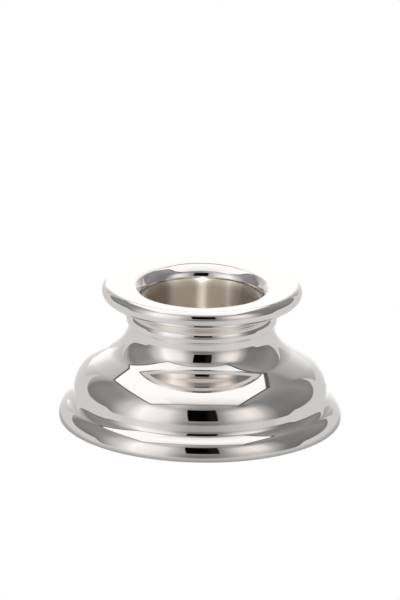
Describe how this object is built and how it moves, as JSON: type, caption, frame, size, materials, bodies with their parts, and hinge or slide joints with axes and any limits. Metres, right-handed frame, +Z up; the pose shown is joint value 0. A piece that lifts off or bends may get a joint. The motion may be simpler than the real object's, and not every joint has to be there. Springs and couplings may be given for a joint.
{
  "type": "altar candlestick",
  "caption": "Low weighted altar candlestick with an ogee foot, a wide drip flange with a rolled lip, and a loose turned cup that holds one thick candle.",
  "frame": {"origin": "centre of the felt pad's underside, where the candlestick rests", "axes": "+Z up along the candle's axis; the object is turned, so +X and +Y are any two level directions"},
  "size_m": [0.101, 0.101, 0.0511],
  "materials": {
    "polished_silver": "mirror polished silver plate",
    "brushed_nickel": "turned satin nickel, rings left by the tool",
    "brass": "turned, unplated",
    "cast_iron": "as cast, black varnish",
    "plate_steel": "zinc plated",
    "screw_steel": "zinc plated",
    "ring_rubber": "matt",
    "felt": "wool felt"
  },
  "bodies": {
    "stand": {"foot_shell": "polished_silver", "collar_ring": "polished_silver", "drip_flange": "polished_silver", "socket_tube": "brass", "seat_plate": "brass", "seat_ring": "ring_rubber", "ballast_ring": "cast_iron", "base_plate": "plate_steel", "felt_pad": "felt", "tie_screw": "screw_steel", "plain_washer": "screw_steel", "spring_washer": "screw_steel", "hex_nut": "screw_steel"},
    "cup": {"candle_cup": "brushed_nickel"}
  },
  "joints": [
    {"name": "cup_lift", "type": "slide", "parent": "stand", "child": "cup", "axis": [0, 0, 1], "range_m": [0, 0.035]}
  ]
}
